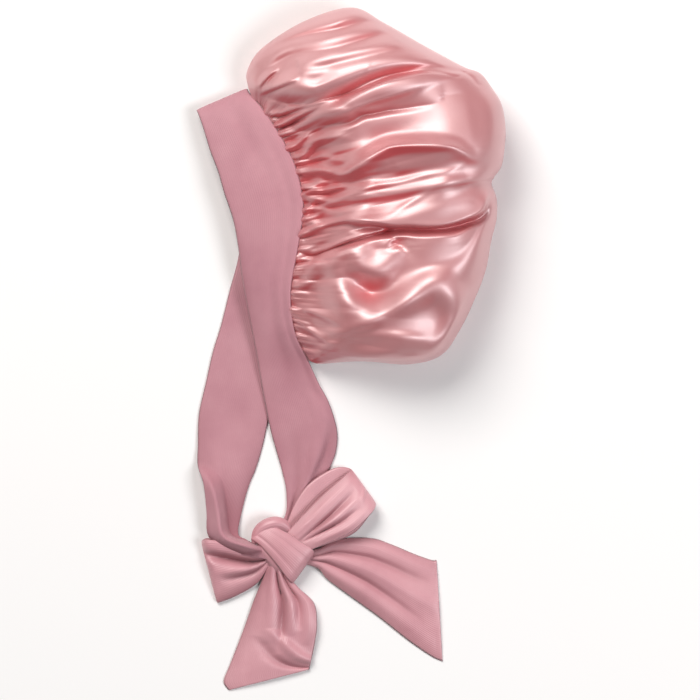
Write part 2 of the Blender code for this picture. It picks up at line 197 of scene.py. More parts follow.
def foldField(plan, folds):
    # For each fold line: its rows become a smooth line, and each cloth point takes the line's values
    # where it is nearest, at a distance d rounded at the crest. With bow 0 the height is
    # lift * (1 - ease(s)) on both sides, s being d / soft on the left and d / steep on the right.
    # With bow -1 it is lift * (1 - s)^2, a sharp crest, and with bow 1 the right side rolls over as
    # lift * (1 - s^2). A valley of depth dip begins at the foot of the drop and is filled again over
    # recover. The crest also leans to the right by roll.
    height = np.zeros(plan.shape[:2])
    lean = np.zeros_like(plan)
    for fold in folds:
        rows = np.array(fold["rows"], float)
        length = np.hypot(*np.diff(rows[:, :2], axis=0).T).sum()
        count = int(length / foldLine["step"]) + 8
        line = columnsAt(rows, foldNames, np.linspace(0, 1, count))
        path = np.stack([line["x"], line["y"]], -1)
        tangent = np.gradient(path, axis=0)
        spacing = np.linalg.norm(tangent, axis=-1)
        tangent = tangent / spacing[:, None]
        reach = max(rows[:, 3].max(), rows[:, 4].max() + fold["recover"])
        low, high = path.min(axis=0) - reach, path.max(axis=0) + reach
        near = np.all((plan > low) & (plan < high), axis=-1)
        if not near.any():
            continue
        delta = plan[near][:, None, :] - path[None, :, :]
        nearest = np.argmin((delta**2).sum(-1), axis=1)
        delta = delta[np.arange(len(nearest)), nearest]
        direction = tangent[nearest]
        forward = (delta * direction).sum(-1)
        sideways = direction[:, 0] * delta[:, 1] - direction[:, 1] * delta[:, 0]
        position = np.clip(nearest + forward / spacing[nearest], 0, count - 1)
        beyond = forward - (position - nearest) * spacing[nearest]
        distance = np.hypot(sideways, beyond)
        lift, soft, steep, dip = (
            np.interp(position, np.arange(count), line[key]) for key in foldNames[2:])
        left = sideways > 0
        fromCrest = np.hypot(distance, foldLine["rounding"]) - foldLine["rounding"]
        share = np.clip(fromCrest / np.where(left, soft, steep), 0, 1)
        even = 1 - ease(share)
        crest = {-1: (1 - share) ** 2, 0: even, 1: np.where(left, even, 1 - share**2)}[fold["bow"]]
        valley = ease(distance / steep) * (1 - ease((distance - steep) / fold["recover"]))
        height[near] += lift * crest - np.where(left, 0, dip * valley)
        tallest = max(np.abs(rows[:, 2]).max(), 0.01)
        push = fold["roll"] * crest * np.abs(lift) / tallest
        lean[near] += push[:, None] * np.stack([direction[:, 1], -direction[:, 0]], -1)
    return height, lean


def clothColours(tree, coordinates, base, pale, shade, scale):
    # slow drifts of the dye, pale to deep, over about 1/scale metres
    drift = addNode(tree, "ShaderNodeTexNoise", {
        "Vector": coordinates, "Scale": scale, "Detail": 3.0, "Roughness": 0.55})
    ramp = addNode(tree, "ShaderNodeValToRGB", {"Fac": drift.outputs["Fac"]})
    ramp.color_ramp.elements[0].position = 0.30
    ramp.color_ramp.elements[0].color = linearColour(shade)
    ramp.color_ramp.elements[1].position = 0.72
    ramp.color_ramp.elements[1].color = linearColour(pale)
    middle = ramp.color_ramp.elements.new(0.5)
    middle.color = linearColour(base)
    return ramp


def roseSatin():
    # Polyester charmeuse, woven with long floats on its face: a saturated rose dye under a soft, nearly
    # white gloss. Light that bounces between folds deepens it to red, and here that is painted shade in
    # the base colour and a painted reflection in the gloss tint. A wave of scale s repeats every
    # 3.14 / s millimetres of cloth, so the floats are drawn 0.26 mm apart, which is coarser than real
    # ones. Crinkles are about 1 / 75 metres apart.
    look = dict(
        base="c86c70", pale="d0797d", shade="bf6267", paintedShadeColour="bd2c34", drift=14.0,
        gloss="fff0f1", paintedReflectionInFold="ad4b50", roughness=0.55, ior=4.3, anisotropy=0.4,
        coat=0.8, coatRoughness=0.34, coatIor=1.6, sheen=0.2, sheenRoughness=0.4, sheenTint="ffe3e6",
        crinkles=75.0, crinkleDepth=0.0002, floats=12.0, floatDepth=0.00002)
    material = bpy.data.materials.new("roseSatin")
    material.use_nodes = True
    tree = material.node_tree
    shader = tree.nodes["Principled BSDF"]
    place = addNode(tree, "ShaderNodeTexCoord")
    dye = clothColours(
        tree, place.outputs["Object"], look["base"], look["pale"], look["shade"], look["drift"])
    valley = addNode(tree, "ShaderNodeAttribute", attribute_name="valley")
    # painted shade: the valley share mixes the dye towards a deep red
    paintedShadeMix = addNode(tree, "ShaderNodeMix", {
        0: valley.outputs["Fac"], 6: dye.outputs["Color"], 7: linearColour(look["paintedShadeColour"])}, data_type="RGBA")
    tree.links.new(paintedShadeMix.outputs[2], shader.inputs["Base Color"])
    crinkle = addNode(tree, "ShaderNodeTexNoise", {
        "Vector": place.outputs["Object"], "Scale": look["crinkles"], "Detail": 2.0, "Roughness": 0.5,
        "Distortion": 0.6})
    softBump = addNode(tree, "ShaderNodeBump", {
        "Height": crinkle.outputs["Fac"], "Strength": 0.6, "Distance": look["crinkleDepth"]})
    cloth = addNode(tree, "ShaderNodeUVMap", uv_map="cloth")
    weave = addNode(tree, "ShaderNodeTexWave", {
        "Vector": cloth.outputs["UV"], "Scale": look["floats"], "Distortion": 0.8, "Detail": 1.0},
        bands_direction="Y")
    weaveBump = addNode(tree, "ShaderNodeBump", {
        "Height": weave.outputs["Fac"], "Strength": 0.15, "Distance": look["floatDepth"],
        "Normal": softBump.outputs["Normal"]})
    tree.links.new(weaveBump.outputs["Normal"], shader.inputs["Normal"])
    # painted reflection: where valley is high the gloss is tinted red, for the fold's other side that it
    # sees instead of the room
    paintedReflectionTint = addNode(tree, "ShaderNodeMix", {
        0: valley.outputs["Fac"], 6: linearColour(look["gloss"]), 7: linearColour(look["paintedReflectionInFold"])},
        data_type="RGBA")
    tree.links.new(paintedReflectionTint.outputs[2], shader.inputs["Specular Tint"])
    setSockets(shader, {
        "Roughness": look["roughness"], "IOR": look["ior"], "Anisotropic": look["anisotropy"],
        "Coat Weight": look["coat"], "Coat Roughness": look["coatRoughness"], "Coat IOR": look["coatIor"],
        "Sheen Weight": look["sheen"], "Sheen Roughness": look["sheenRoughness"],
        "Sheen Tint": linearColour(look["sheenTint"])})
    return material


def mauveJersey(name, base, pale, shade, paintedShadeColour, gloss, roughness):
    # Brushed cotton-blend jersey, knitted in fine lengthwise ribs and worn soft: matt and slightly fuzzy.
    # Its colour turns paler towards the long edges. A wave of scale s repeats every 3.14 / s millimetres of
    # cloth. The ribs are 2.2 mm apart, which is coarser than real ones, so that they show.
    look = dict(
        drift=22.0, edgePaling=0.35, ribPitch=2.2, ribDepth=0.00016, ribContrast=0.28,
        fuzzScale=900.0, fuzzDepth=0.00010, sheen=0.3, sheenRoughness=0.5, sheenTint="f6dfe2")
    material = bpy.data.materials.new(name)
    material.use_nodes = True
    tree = material.node_tree
    shader = tree.nodes["Principled BSDF"]
    place = addNode(tree, "ShaderNodeTexCoord")
    cloth = addNode(tree, "ShaderNodeUVMap", uv_map="cloth")
    share = addNode(tree, "ShaderNodeUVMap", uv_map="share")
    dye = clothColours(tree, place.outputs["Object"], base, pale, shade, look["drift"])
    split = addNode(tree, "ShaderNodeSeparateXYZ", {"Vector": share.outputs["UV"]})
    fromMiddle = addNode(tree, "ShaderNodeMath", {0: split.outputs["X"], 1: 0.5}, operation="SUBTRACT")
    size = addNode(tree, "ShaderNodeMath", {0: fromMiddle.outputs[0]}, operation="ABSOLUTE")
    # the colour turns paler towards the long edges of the strip
    edge = addNode(tree, "ShaderNodeMapRange", {
        "Value": size.outputs[0], "From Min": 0.44, "From Max": 0.5, "To Min": 0.0,
        "To Max": look["edgePaling"]})
    edgePaled = addNode(tree, "ShaderNodeMix", {
        0: edge.outputs["Result"], 6: dye.outputs["Color"], 7: linearColour(pale)}, data_type="RGBA")
    ribs = addNode(tree, "ShaderNodeTexWave", {
        "Vector": cloth.outputs["UV"], "Scale": 3.14 / look["ribPitch"], "Distortion": 0.35, "Detail": 1.0,
        "Detail Scale": 2.0}, bands_direction="X")
    ribColour = addNode(tree, "ShaderNodeMix", {
        0: ribs.outputs["Fac"], 6: edgePaled.outputs[2], 7: linearColour(shade)}, data_type="RGBA")
    ribAmount = addNode(tree, "ShaderNodeMix", {
        0: look["ribContrast"], 6: edgePaled.outputs[2], 7: ribColour.outputs[2]}, data_type="RGBA")
    # painted shade: the valley share mixes the jersey towards a deeper colour
    valley = addNode(tree, "ShaderNodeAttribute", attribute_name="valley")
    paintedShadeMix = addNode(tree, "ShaderNodeMix", {
        0: valley.outputs["Fac"], 6: ribAmount.outputs[2], 7: linearColour(paintedShadeColour)}, data_type="RGBA")
    tree.links.new(paintedShadeMix.outputs[2], shader.inputs["Base Color"])
    fuzz = addNode(tree, "ShaderNodeTexNoise", {
        "Vector": place.outputs["Object"], "Scale": look["fuzzScale"], "Detail": 3.0, "Roughness": 0.6})
    fuzzBump = addNode(tree, "ShaderNodeBump", {
        "Height": fuzz.outputs["Fac"], "Strength": 0.5, "Distance": look["fuzzDepth"]})
    ribBump = addNode(tree, "ShaderNodeBump", {
        "Height": ribs.outputs["Fac"], "Strength": 0.7, "Distance": look["ribDepth"],
        "Normal": fuzzBump.outputs["Normal"]})
    tree.links.new(ribBump.outputs["Normal"], shader.inputs["Normal"])
    setSockets(shader, {
        "Roughness": roughness, "Specular IOR Level": gloss, "Sheen Weight": look["sheen"],
        "Sheen Roughness": look["sheenRoughness"], "Sheen Tint": linearColour(look["sheenTint"])})
    return material


satin = roseSatin()
bandJersey = mauveJersey(
    "mauveJersey", base="c08792", pale="c68f99", shade="b97f8b", paintedShadeColour="8a4b56",
    gloss=0.6, roughness=0.62)
# the bow is the same cloth, pulled tight and more lustrous; its paler base colours are painted light
paintedLighterBowJersey = mauveJersey(
    "mauveJerseyBowPaintedLighter", base="d69aa3", pale="dda4ac", shade="cb8e98", paintedShadeColour="874751",
    gloss=1.0, roughness=0.46)
print("materials made")


# Crown: a gathered satin bag, open along its seam with the band.
crown = dict(
    steps=410, topSteps=98, underSteps=14, wall=0.8,
    edgeRoundness=8, flatShare=0.55, innerShare=0.35, outerShare=0.75, underLift=0.5,
    puff=2.6, puffReach=28, scallop=2.6, tuck=3.2,
    gathers=((5.3, 1.5, 0.3), (8.3, 2.4, 1.7), (13.0, 3.2, 4.1), (21.0, 3.2, 2.6)),   # pitch, depth, phase
    gatherFade=2.9, wander=0.16,   # both in pitches
    lobeTop=112, lobeBlend=24, lobePasses=5,   # the lower lobe, where the folds are softer
    paintedShadePasses=60, paintedShadeDepth=20, paintedShadeMost=0.75,   # painted shade in the folds
    paintedShadeFrom=120, paintedShadeTo=240, paintedShadeGain=1.6,   # where the painted shade is deepest
)
# Sections from the forehead to the nape: the seam with the near band, the rim of the outline, the seam
# with the far band, and the heights at the seam, at innerShare, at outerShare and at the rim.
sectionNames = ("seamX", "seamY", "rimX", "rimY", "farX", "farY", "seamZ", "innerZ", "outerZ", "rimZ")
sectionRows = (
    (-98, 252, -102, 263, -98, 252, 22, 22, 21, 11),
    (-95, 250, -103, 279, -94, 249, 24, 30, 28, 15),
    (-91, 246, -88, 302, -89, 244, 26, 43, 42, 19),
    (-87, 240, -45, 329, -84, 237, 28, 57, 56, 25),
    (-83, 235, 2, 342, -79, 231, 30, 71, 71, 31),
    (-79, 230, 35, 326, -74, 225, 31, 74, 75, 33),
    (-74, 223, 75, 303, -69, 218, 32, 79, 83, 36),
    (-69, 214, 112, 283, -64, 209, 33, 82, 89, 38),
    (-65, 208, 130, 276, -59, 202, 34, 78, 87, 38),
    (-61, 199, 141, 262, -55, 193, 35, 80, 91, 40),
    (-57, 192, 151, 245, -51, 184, 36, 79, 95, 42),
    (-53, 182, 155, 221, -47, 174, 37, 85, 101, 42),
    (-48, 167, 154, 202, -43, 162, 38, 90, 103, 42),
    (-46, 156, 151, 184, -40, 151, 40, 84, 97, 42),
    (-45, 143, 144, 173, -38, 139, 40, 86, 99, 42),
    (-46, 130, 141, 166, -38, 125, 40, 84, 96, 41),
    (-49, 114, 146, 151, -40, 110, 40, 86, 97, 41),
    (-52, 99, 146, 131, -43, 94, 38, 76, 87, 41),
    (-55, 83, 141, 110, -46, 79, 37, 79, 90, 41),
    (-57, 68, 135, 79, -49, 66, 36, 76, 88, 40),
    (-58, 53, 124, 50, -52, 52, 34, 77, 89, 37),
    (-59, 38, 110, 21, -55, 41, 31, 75, 87, 35),
    (-56, 24, 91, -5, -57, 30, 27, 67, 80, 31),
    (-52, 10, 58, -14, -59, 20, 23, 56, 66, 26),
    (-47, 0, 12, -11, -61, 11, 19, 41, 46, 18),
    (-41, -11, -33, -14, -62, 5, 15, 20, 21, 8),
)

# Folds of the crown, from the top of the picture down. Each row is x, y, lift, soft, steep, dip: the
# place, the height of the crest, how far it reaches on the left and on the right of the line, and the
# depth of the valley at its right foot. bow, roll and recover are as foldField says.
crownFolds = (
    # long shallow folds over the top lobe
    dict(bow=0, roll=0, recover=8, rows=((-79, 306, 0, 6, 6, 0), (-46, 319, 2, 7, 7, 0.6),
        (-15, 326, 2.4, 7, 7, 0.8), (5, 332, 2.2, 6, 7, 0.8), (18, 333, 1.5, 5, 6, 0.5),
        (25, 329, 0, 5, 6, 0))),
    dict(bow=0, roll=0, recover=8, rows=((-89, 282, 0, 7, 7, 0), (-72, 295, 2.2, 8, 7, 1),
        (-53, 303, 3, 8, 8, 1.4), (-18, 308, 3, 9, 8, 1.4), (5, 314, 2.8, 9, 8, 1.4),
        (28, 320, 2.2, 8, 7, 1), (43, 320, 0, 6, 6, 0))),
    dict(bow=0, roll=0, recover=8, rows=((-61, 285, 0, 7, 7, 0), (-30, 289, 2, 8, 7, 1),
        (5, 298, 2.5, 9, 8, 1.2), (39, 304, 2.2, 9, 7, 1), (58, 304, 0, 7, 7, 0))),
    dict(bow=0, roll=0, recover=8, rows=((-72, 288, 0, 6, 6, 0), (-50, 296, 1.4, 6, 6, 0),
        (-20, 299, 1.4, 6, 6, 0), (10, 307, 0, 6, 6, 0))),
    dict(bow=0, roll=0, recover=4, rows=((-61, 272, 0, 5, 5, 0), (-37, 269, -2, 7, 7, 0),
        (-12, 277, 0, 5, 5, 0))),
    # crest of the top lobe, which rolls over onto the layer below it
    dict(bow=1, roll=2, recover=4, rows=((-88, 262, 0, 10, 6, 0), (-75, 259, 3, 14, 8, 2),
        (-60, 258, 6, 22, 11, 3), (-45, 259, 9, 30, 13, 4), (-30, 266, 12, 38, 17, 5),
        (-7, 274, 15, 44, 19, 6), (16, 282, 15, 44, 18, 6), (42, 288, 13, 40, 15, 5),
        (70, 290, 10, 32, 13, 4), (90, 288, 6, 20, 12, 3), (105, 281, 2, 12, 9, 1))),
    dict(bow=1, roll=1, recover=4, rows=((84, 284, 0, 6, 5, 0), (100, 284, 2, 8, 6, 2),
        (114, 283, 4, 8, 6, 3), (124, 277, 4, 8, 6, 3), (129, 268, 1, 6, 4, 1))),
    dict(bow=-1, roll=0, recover=3, rows=((18, 292, 0, 2, 2, 0), (17, 281, 0.6, 2, 2, 0),
        (15, 270, 0, 2, 2, 0))),
    # second layer below the lobe, its edge over the first pocket, and the pocket's lower lip
    dict(bow=1, roll=1, recover=8, rows=((-66, 215, 0, 6, 5, 0), (-50, 223, 3, 8, 6, 2),
        (-30, 233, 4, 9, 8, 3), (-8, 239, 7, 10, 14, 4), (2, 246, 11, 12, 15, 4), (16, 254, 14, 12, 20, 4),
        (35, 262, 15, 11, 24, 3), (57, 267, 12, 11, 26, 2), (75, 272, 8, 10, 28, 0), (92, 275, 5, 6, 26, 0),
        (108, 271, 3, 7, 18, 0), (122, 265, 0, 6, 12, 0))),
    dict(bow=-1, roll=0, recover=3, rows=((0, 240, 0, 3, 3, 0), (15, 244, 1.4, 3, 3, 0),
        (31, 249, 1.4, 3, 4, 0), (49, 254, 1, 4, 4, 0), (68, 259, 0, 4, 4, 0))),
    dict(bow=0, roll=0, recover=3, rows=((-10, 234, 0, 4, 10, 0), (2, 236, 2.5, 6, 18, 0),
        (16, 236, 3.2, 9, 24, 0), (32, 232, 3, 14, 32, 0), (46, 230, 2.5, 18, 38, 0),
        (62, 231, 1.5, 18, 38, 0), (80, 235, 0, 16, 30, 0))),
    # shallow hollow down the right side
    dict(bow=0, roll=0, recover=3, rows=((122, 256, 0, 10, 9, 0), (126, 240, -1.2, 14, 11, 0),
        (129, 222, -1.4, 14, 11, 0), (128, 200, 0, 12, 9, 0))),
    # gathers that spread from the forehead
    dict(bow=-1, roll=1, recover=3, rows=((-92, 262, 0, 4, 3, 0), (-87, 269, 3.5, 5, 4, 1),
        (-80, 276, 3.5, 6, 4, 1), (-70, 281, 0, 5, 4, 0))),
    dict(bow=-1, roll=1, recover=3, rows=((-92, 256, 0, 4, 3, 0), (-78, 262, 4, 5, 4, 1),
        (-63, 267, 3.5, 6, 4, 1), (-50, 270, 0, 5, 4, 0))),
    dict(bow=-1, roll=1, recover=3, rows=((-84, 238, 0, 4, 3, 0), (-74, 237, 4, 5, 4, 2),
        (-58, 241, 4, 6, 5, 2), (-41, 246, 3, 6, 5, 1), (-22, 250, 0, 5, 4, 0))),
    dict(bow=-1, roll=1, recover=3, rows=((-80, 226, 0, 4, 3, 0), (-68, 227, 4, 5, 4, 2),
        (-50, 235, 4, 6, 5, 2), (-26, 245, 0, 5, 4, 0))),
    dict(bow=-1, roll=1, recover=4, rows=((-64, 203, 0, 4, 3, 0), (-54, 206, 3.5, 6, 5, 1),
        (-40, 218, 3.5, 7, 6, 1), (-18, 229, 0, 6, 6, 0))),
    dict(bow=-1, roll=0, recover=3, rows=((-34, 217, 0, 5, 5, 0), (-14, 224, 2, 7, 7, 0),
        (8, 221, 0, 6, 6, 0))),
    # lower crest of the middle lobe and the folds that run into it
    dict(bow=-1, roll=1, recover=6, rows=((-57, 184, 0, 4, 4, 0), (-46, 196, 4, 7, 7, 1),
        (-36, 207, 5, 9, 9, 1), (-27, 211, 5, 10, 11, 1), (-12, 212, 3, 10, 12, 0), (6, 207, 0, 8, 10, 0))),
    dict(bow=-1, roll=1, recover=4, rows=((-50, 184, 0, 4, 3, 0), (-38, 192, 2.5, 5, 5, 0),
        (-22, 192, 2.5, 5, 5, 0), (-2, 186, 0, 4, 4, 0))),
    dict(bow=-1, roll=1, recover=6, rows=((-53, 172, 0, 4, 4, 0), (-39, 177, 3, 7, 5, 1),
        (-29, 179, 4, 8, 6, 1), (-17, 176, 4, 8, 7, 2), (-6, 175, 6, 9, 10, 3), (5, 181, 9, 11, 14, 3),
        (17, 189, 12, 13, 18, 2), (30, 197, 14, 14, 23, 1), (44, 202, 14, 14, 25, 0),
        (78, 203, 12, 14, 21, 0), (100, 201, 9, 12, 17, 0), (112, 196, 5, 10, 13, 0),
        (122, 190, 2, 8, 10, 0), (136, 190, 0, 8, 8, 0))),
    dict(bow=-1, roll=0, recover=4, rows=((-50, 160, 0, 4, 3, 0), (-40, 160, 3, 4, 4, 2),
        (-21, 159, 3, 4, 4, 2), (2, 166, 0, 4, 4, 0))),
    # third lobe: its thin upper ridge, its swell and its lower edge over the second pocket
    dict(bow=-1, roll=1, recover=8, rows=((-45, 133, 0, 4, 4, 0), (-36, 149, 4, 5, 6, 2),
        (-17, 149, 4.5, 5, 8, 2), (1, 155, 4.5, 5, 13, 1), (22, 163, 4.5, 5, 17, 0), (49, 167, 4, 5, 18, 0),
        (73, 173, 3.5, 5, 18, 0), (97, 177, 2.5, 5, 14, 0), (114, 184, 0, 4, 8, 0))),
    dict(bow=0, roll=0, recover=3, rows=((70, 154, 0, 12, 12, 0), (97, 162, 3.5, 16, 13, 0),
        (116, 171, 0, 12, 12, 0))),
    dict(bow=-1, roll=0, recover=3, rows=((36, 131, 0, 4, 4, 0), (60, 146, 1.6, 5, 5, 0),
        (85, 160, 0, 4, 4, 0))),
    dict(bow=-1, roll=0, recover=10, rows=((-44, 141, 0, 3, 3, 0), (-30, 140, 2, 4, 5, 1),
        (-5, 138, 2, 4, 9, 1), (24, 143, 0, 4, 8, 0))),
    dict(bow=-1, roll=2, recover=8, rows=((-49, 112, 0, 6, 4, 0), (-36, 122, 4, 9, 5, 2),
        (-9, 130, 6, 13, 6, 4), (7, 130, 8, 16, 7, 5), (22, 129, 8, 18, 6, 7), (42, 126, 8, 20, 5, 8),
        (59, 126, 8, 20, 5, 7), (78, 125, 8, 20, 5, 6), (97, 127, 8, 18, 5, 8), (116, 133, 8, 16, 6, 9),
        (128, 139, 7, 13, 6, 8), (134, 149, 4, 9, 5, 4), (140, 162, 0, 6, 4, 0))),
    dict(bow=-1, roll=1, recover=8, rows=((-53, 103, 0, 3, 3, 0), (-38, 98, 3, 5, 3, 4),
        (-28, 100, 3, 5, 3, 6), (-8, 108, 3, 6, 3, 7), (13, 115, 3, 6, 3, 8), (32, 120, 3, 5, 3, 9),
        (41, 123, 0, 4, 3, 0))),
    dict(bow=-1, roll=2, recover=9, rows=((34, 100, 0, 5, 5, 0), (41, 111, 2.5, 7, 9, 7),
        (53, 115, 6, 5, 14, 5), (66, 114, 6, 4, 24, 0), (85, 115, 6, 4, 28, 0), (106, 115, 5, 4, 26, 0),
        (126, 128, 0, 4, 16, 0))),
    # lower lobe
    dict(bow=0, roll=0, recover=4, rows=((-54, 58, 0, 3, 10, 0), (-46, 67, 3, 4, 16, 0),
        (-32, 88, 5, 5, 20, 0), (-14, 101, 6, 6, 22, 0), (5, 108, 6, 6, 20, 0), (24, 111, 5, 5, 16, 0),
        (40, 108, 4, 5, 14, 0), (50, 104, 3, 5, 12, 0), (60, 110, 0, 4, 10, 0))),
    dict(bow=0, roll=0, recover=5, rows=((-30, 74, 0, 5, 6, 0), (-20, 84, 2.5, 6, 7, 1),
        (-8, 95, 3, 6, 7, 1), (6, 102, 0, 5, 6, 0))),
    dict(bow=0, roll=0, recover=12, rows=((4, 112, 0, 10, 10, 0), (7, 97, 3, 18, 14, 2),
        (14, 83, 6, 20, 17, 4), (25, 76, 8, 20, 18, 4), (35, 84, 5, 18, 15, 2), (45, 97, 2, 14, 12, 0),
        (56, 111, 0, 8, 8, 0))),
    dict(bow=0, roll=0, recover=8, rows=((4, 104, 0, 16, 10, 0), (-8, 84, 6, 26, 15, 0),
        (-14, 64, 7, 26, 19, 0), (-5, 46, 6, 24, 21, 0), (13, 36, 6, 20, 20, 0), (32, 34, 0, 14, 14, 0))),
    dict(bow=0, roll=0, recover=4, rows=((4, 68, -3, 18, 18, 0), (20, 58, -9, 22, 22, 0),
        (34, 50, -3, 18, 18, 0))),
    dict(bow=-1, roll=1, recover=14, rows=((-40, 8, 0, 5, 5, 0), (-24, 15, 3, 8, 8, 1),
        (-8, 19, 5, 10, 12, 1), (18, 27, 7, 14, 20, 1), (32, 36, 7, 16, 24, 0), (53, 47, 5, 16, 22, 0),
        (69, 57, 0, 14, 14, 0))),
    dict(bow=0, roll=0, recover=8, rows=((32, 37, 0, 14, 12, 0), (53, 48, 5, 18, 16, 0),
        (69, 58, 8, 20, 18, 0), (82, 64, 9, 20, 19, 0), (94, 61, 10, 20, 20, 0), (105, 50, 10, 19, 21, 0),
        (110, 37, 10, 18, 21, 0), (107, 24, 9, 16, 20, 0), (99, 12, 7, 14, 18, 0), (87, 1, 4, 11, 14, 0),
        (76, -9, 0, 8, 10, 0))),
    dict(bow=0, roll=0, recover=4, rows=((48, 16, 0, 16, 16, 0), (68, 26, -3, 20, 20, 0),
        (82, 32, -5, 23, 23, 0), (96, 36, 0, 20, 20, 0))),
    dict(bow=-1, roll=0, recover=8, rows=((-42, -8, 0, 4, 4, 0), (-27, 3, 2.5, 5, 7, 0),
        (-6, 9, 3, 6, 10, 0), (26, 15, 3, 7, 14, 0), (58, 13, 3, 7, 14, 0), (84, 9, 0, 5, 8, 0))),
    dict(bow=0, roll=0, recover=5, rows=((44, -12, 0, 4, 4, 0), (60, -8, 2, 5, 4, 0), (76, -8, 2, 5, 4, 0),
        (88, 0, 0, 4, 4, 0))),
    dict(bow=0, roll=0, recover=8, rows=((60, 62, 0, 8, 10, 0), (86, 74, 2, 12, 16, 0),
        (112, 84, 3.5, 12, 18, 0), (128, 106, 3.5, 9, 15, 0), (137, 132, 2, 6, 10, 0),
        (141, 146, 0, 5, 6, 0))),
    dict(bow=-1, roll=0, recover=4, rows=((-56, 89, 0, 3, 3, 0), (-47, 91, -3.5, 4, 3, 0),
        (-36, 96, 0, 3, 3, 0))),
    dict(bow=-1, roll=1, recover=4, rows=((-58, 46, 0, 4, 3, 0), (-44, 42, 3, 6, 5, 1),
        (-26, 34, 3, 7, 6, 1), (-4, 23, 0, 6, 6, 0))),
    dict(bow=-1, roll=1, recover=4, rows=((-58, 30, 0, 4, 3, 0), (-45, 24, 3.5, 5, 5, 1),
        (-30, 14, 3.5, 6, 5, 1), (-12, 4, 0, 5, 5, 0))),
)


def crownBody(sections, share):
    # from the seam the height eases to the inner height, then to the outer one, and it falls to the
    # rim as sqrt(1 - share^8), so that the outline is round
    rise = mix(sections["seamZ"], sections["innerZ"], ease(share / crown["innerShare"]))
    spread = (share - crown["innerShare"]) / (crown["outerShare"] - crown["innerShare"])
    body = mix(rise, sections["outerZ"], ease(spread))
    edge = np.sqrt(np.clip(1 - share ** crown["edgeRoundness"], 0, 1))
    return sections["rimZ"] + (body - sections["rimZ"]) * edge


def gatherField(seamLength, distance):
    # Sum over the gathers of depth * (|cos(pi * a / pitch + phase)|^0.8 - 0.7), a being the length along
    # the seam: round tops and sharp creases. Each grows over 2 mm and fades over gatherFade pitches
    # from the seam, and its creases wander a little on the way.
    total = np.zeros(np.broadcast_shapes(seamLength.shape, distance.shape))
    for pitch, depth, phase in crown["gathers"]:
        aside = np.sin(distance / (1.7 * pitch) + 5 * phase + seamLength / 31)
        wander = crown["wander"] * pitch * aside
        wave = np.abs(np.cos(pi * (seamLength + wander) / pitch + phase)) ** 0.8 - 0.7
        strength = np.exp(-distance / (crown["gatherFade"] * pitch)) * (1 - np.exp(-distance / 2))
        total = total + depth * strength * wave
    return total


